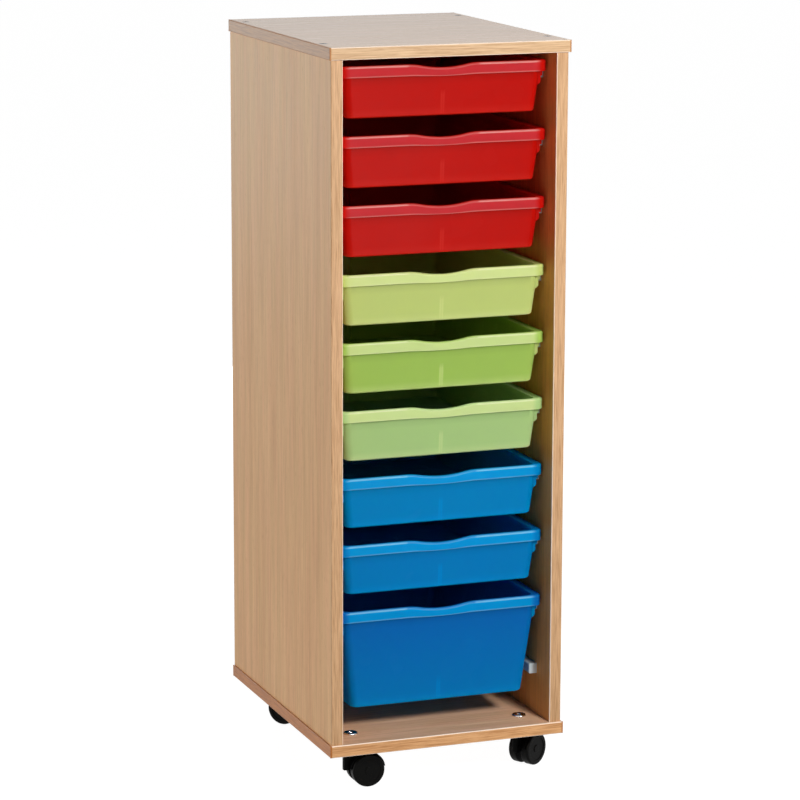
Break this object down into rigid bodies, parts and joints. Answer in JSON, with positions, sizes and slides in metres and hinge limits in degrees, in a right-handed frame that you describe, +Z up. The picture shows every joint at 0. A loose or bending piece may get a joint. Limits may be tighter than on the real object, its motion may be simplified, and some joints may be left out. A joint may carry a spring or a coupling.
{
  "type": "tray storage unit",
  "caption": "Tall narrow open-fronted cabinet of beech-effect board on swivel castors, with a column of sliding plastic trays hung on side runners and a deep tray at the bottom.",
  "frame": {"origin": "on the floor, under the centre of the top board", "axes": "+Z up, +X to the right as seen from the open front, -Y towards the user at the open front"},
  "size_m": [0.37, 0.465, 1.102],
  "materials": {
    "beech_faced_board": "melamine-faced board with a beech print, satin",
    "beech_faced_back_board": "melamine-faced back board with a beech print, satin",
    "beech_edging": "beech-effect plastic edging, satin",
    "zinc_plated_screw": "zinc plated",
    "beech_dowel": "plain turned beech",
    "chromed_nut": "bright chrome plate",
    "runner_plastic": "extruded plastic, satin",
    "red_tray_plastic": "slightly translucent moulded polypropylene",
    "lime_tray_plastic": "slightly translucent moulded polypropylene",
    "blue_tray_plastic": "slightly translucent moulded polypropylene",
    "castor_steel": "zinc plated",
    "castor_hood_plastic": "moulded black nylon",
    "castor_wheel_plastic": "moulded black nylon"
  },
  "bodies": {
    "carcass": {"back_board": "beech_faced_back_board", "back_left_castor_stem": "castor_steel", "back_right_castor_stem": "castor_steel", "back_screws": "zinc_plated_screw", "base_board": "beech_faced_board", "base_edging": "beech_edging", "base_screws": "zinc_plated_screw", "castor_nuts": "chromed_nut", "dowels": "beech_dowel", "front_left_castor_stem": "castor_steel", "front_right_castor_stem": "castor_steel", "left_side_board": "beech_faced_board", "left_side_edging": "beech_edging", "right_side_board": "beech_faced_board", "right_side_edging": "beech_edging", "runner_screws": "zinc_plated_screw", "runners_1": "runner_plastic", "runners_10": "runner_plastic", "runners_2": "runner_plastic", "runners_3": "runner_plastic", "runners_4": "runner_plastic", "runners_5": "runner_plastic", "runners_6": "runner_plastic", "runners_7": "runner_plastic", "runners_8": "runner_plastic", "runners_9": "runner_plastic", "top_board": "beech_faced_board", "top_edging": "beech_edging", "top_screws": "zinc_plated_screw"},
    "tray_1": {"tray_1": "red_tray_plastic"},
    "tray_2": {"tray_2": "red_tray_plastic"},
    "tray_3": {"tray_3": "red_tray_plastic"},
    "tray_4": {"tray_4": "lime_tray_plastic"},
    "tray_5": {"tray_5": "lime_tray_plastic"},
    "tray_6": {"tray_6": "lime_tray_plastic"},
    "tray_7": {"tray_7": "blue_tray_plastic"},
    "tray_8": {"tray_8": "blue_tray_plastic"},
    "deep_tray": {"deep_tray": "blue_tray_plastic"},
    "front_left_castor": {"front_left_castor_hood": "castor_hood_plastic", "front_left_castor_axle": "castor_steel"},
    "front_left_castor_wheel_a": {"front_left_castor_wheel_a": "castor_wheel_plastic"},
    "front_left_castor_wheel_b": {"front_left_castor_wheel_b": "castor_wheel_plastic"},
    "front_right_castor": {"front_right_castor_hood": "castor_hood_plastic", "front_right_castor_axle": "castor_steel"},
    "front_right_castor_wheel_a": {"front_right_castor_wheel_a": "castor_wheel_plastic"},
    "front_right_castor_wheel_b": {"front_right_castor_wheel_b": "castor_wheel_plastic"},
    "back_left_castor": {"back_left_castor_hood": "castor_hood_plastic", "back_left_castor_axle": "castor_steel"},
    "back_left_castor_wheel_a": {"back_left_castor_wheel_a": "castor_wheel_plastic"},
    "back_left_castor_wheel_b": {"back_left_castor_wheel_b": "castor_wheel_plastic"},
    "back_right_castor": {"back_right_castor_hood": "castor_hood_plastic", "back_right_castor_axle": "castor_steel"},
    "back_right_castor_wheel_a": {"back_right_castor_wheel_a": "castor_wheel_plastic"},
    "back_right_castor_wheel_b": {"back_right_castor_wheel_b": "castor_wheel_plastic"}
  },
  "joints": [
    {"name": "tray_1_slide", "type": "slide", "parent": "carcass", "child": "tray_1", "axis": [0, -1, 0], "range_m": [0, 0.38]},
    {"name": "tray_2_slide", "type": "slide", "parent": "carcass", "child": "tray_2", "axis": [0, -1, 0], "range_m": [0, 0.38]},
    {"name": "tray_3_slide", "type": "slide", "parent": "carcass", "child": "tray_3", "axis": [0, -1, 0], "range_m": [0, 0.38]},
    {"name": "tray_4_slide", "type": "slide", "parent": "carcass", "child": "tray_4", "axis": [0, -1, 0], "range_m": [0, 0.38]},
    {"name": "tray_5_slide", "type": "slide", "parent": "carcass", "child": "tray_5", "axis": [0, -1, 0], "range_m": [0, 0.38]},
    {"name": "tray_6_slide", "type": "slide", "parent": "carcass", "child": "tray_6", "axis": [0, -1, 0], "range_m": [0, 0.38]},
    {"name": "tray_7_slide", "type": "slide", "parent": "carcass", "child": "tray_7", "axis": [0, -1, 0], "range_m": [0, 0.38]},
    {"name": "tray_8_slide", "type": "slide", "parent": "carcass", "child": "tray_8", "axis": [0, -1, 0], "range_m": [0, 0.38]},
    {"name": "deep_tray_slide", "type": "slide", "parent": "carcass", "child": "deep_tray", "axis": [0, -1, 0], "range_m": [0, 0.38]},
    {"name": "front_left_castor_swivel", "type": "hinge", "parent": "carcass", "child": "front_left_castor", "pos_m": [-0.135, -0.1795, 0.058], "axis": [0, 0, 1], "continuous": true},
    {"name": "front_left_castor_wheel_a_spin", "type": "hinge", "parent": "front_left_castor", "child": "front_left_castor_wheel_a", "pos_m": [-0.112, -0.1795, 0.025], "axis": [0, 1, 0], "continuous": true},
    {"name": "front_left_castor_wheel_b_spin", "type": "hinge", "parent": "front_left_castor", "child": "front_left_castor_wheel_b", "pos_m": [-0.112, -0.1795, 0.025], "axis": [0, 1, 0], "continuous": true},
    {"name": "front_right_castor_swivel", "type": "hinge", "parent": "carcass", "child": "front_right_castor", "pos_m": [0.135, -0.1795, 0.058], "axis": [0, 0, 1], "continuous": true},
    {"name": "front_right_castor_wheel_a_spin", "type": "hinge", "parent": "front_right_castor", "child": "front_right_castor_wheel_a", "pos_m": [0.15451, -0.16731, 0.025], "axis": [-0.5299, 0.848, 0], "continuous": true},
    {"name": "front_right_castor_wheel_b_spin", "type": "hinge", "parent": "front_right_castor", "child": "front_right_castor_wheel_b", "pos_m": [0.15451, -0.16731, 0.025], "axis": [-0.5299, 0.848, 0], "continuous": true},
    {"name": "back_left_castor_swivel", "type": "hinge", "parent": "carcass", "child": "back_left_castor", "pos_m": [-0.135, 0.1755, 0.058], "axis": [0, 0, 1], "continuous": true},
    {"name": "back_left_castor_wheel_a_spin", "type": "hinge", "parent": "back_left_castor", "child": "back_left_castor_wheel_a", "pos_m": [-0.11931, 0.15868, 0.025], "axis": [0.7314, 0.682, 0], "continuous": true},
    {"name": "back_left_castor_wheel_b_spin", "type": "hinge", "parent": "back_left_castor", "child": "back_left_castor_wheel_b", "pos_m": [-0.11931, 0.15868, 0.025], "axis": [0.7314, 0.682, 0], "continuous": true},
    {"name": "back_right_castor_swivel", "type": "hinge", "parent": "carcass", "child": "back_right_castor", "pos_m": [0.135, 0.1755, 0.058], "axis": [0, 0, 1], "continuous": true},
    {"name": "back_right_castor_wheel_a_spin", "type": "hinge", "parent": "back_right_castor", "child": "back_right_castor_wheel_a", "pos_m": [0.14978, 0.19312, 0.025], "axis": [-0.766, 0.6428, 0], "continuous": true},
    {"name": "back_right_castor_wheel_b_spin", "type": "hinge", "parent": "back_right_castor", "child": "back_right_castor_wheel_b", "pos_m": [0.14978, 0.19312, 0.025], "axis": [-0.766, 0.6428, 0], "continuous": true}
  ]
}
